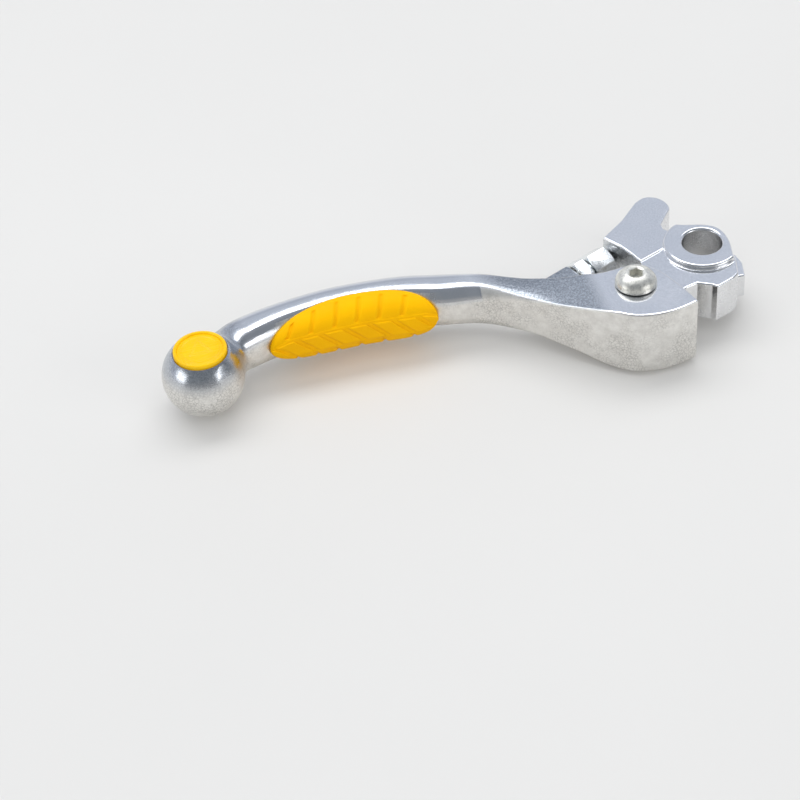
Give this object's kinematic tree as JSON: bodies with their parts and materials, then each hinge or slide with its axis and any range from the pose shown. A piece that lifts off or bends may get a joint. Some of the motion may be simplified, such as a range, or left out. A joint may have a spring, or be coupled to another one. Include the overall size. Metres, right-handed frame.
{
  "type": "folding brake lever",
  "caption": "Forged front brake lever for a handlebar: ball-ended blade with a rubber grip insert, hinged on a knocker with a reach adjuster screw.",
  "frame": {"origin": "on the axis of the knocker's main pivot bore, at the lever's mid height", "axes": "+X from the ball end towards the pivot bore, +Z along the pivot axis on the polished side, -Y forwards away from the handlebar"},
  "size_m": [0.15, 0.0487, 0.0237],
  "materials": {
    "forged_aluminium": "forged satin sides, polished upper faces",
    "zinc_plated_steel": "bright zinc plating",
    "plain_steel": "turned",
    "spring_steel": "drawn wire",
    "yellow_rubber": "matte moulded",
    "yellow_plastic": "gloss moulded"
  },
  "bodies": {
    "knocker": {"knocker": "forged_aluminium", "hinge_bush": "plain_steel", "return_spring": "spring_steel"},
    "blade": {"lever_blade": "forged_aluminium", "hinge_screw": "zinc_plated_steel", "hinge_nut": "zinc_plated_steel", "grip_insert": "yellow_rubber", "ball_cap": "yellow_plastic"},
    "adjuster": {"adjuster_screw": "zinc_plated_steel"},
    "locknut": {"adjuster_locknut": "zinc_plated_steel"}
  },
  "joints": [
    {"name": "blade_hinge", "type": "hinge", "parent": "knocker", "child": "blade", "pos_m": [-0.0221, -0.0123, 0], "axis": [0, 0, 1], "range_deg": [0, 10], "deforming": ["return_spring"]},
    {"name": "adjuster_travel", "type": "slide", "parent": "blade", "child": "adjuster", "axis": [0.9171, 0.3987, 0], "range_m": [0, 0.0035]},
    {"name": "locknut_turn", "type": "hinge", "parent": "blade", "child": "locknut", "pos_m": [-0.0254, 0.0073, 0], "axis": [0.9171, 0.3987, 0], "range_deg": [0, 60]}
  ],
  "couplings": [
    {"joint": "adjuster_travel", "follows": "blade_hinge", "m_per_rad": 0.0193}
  ]
}
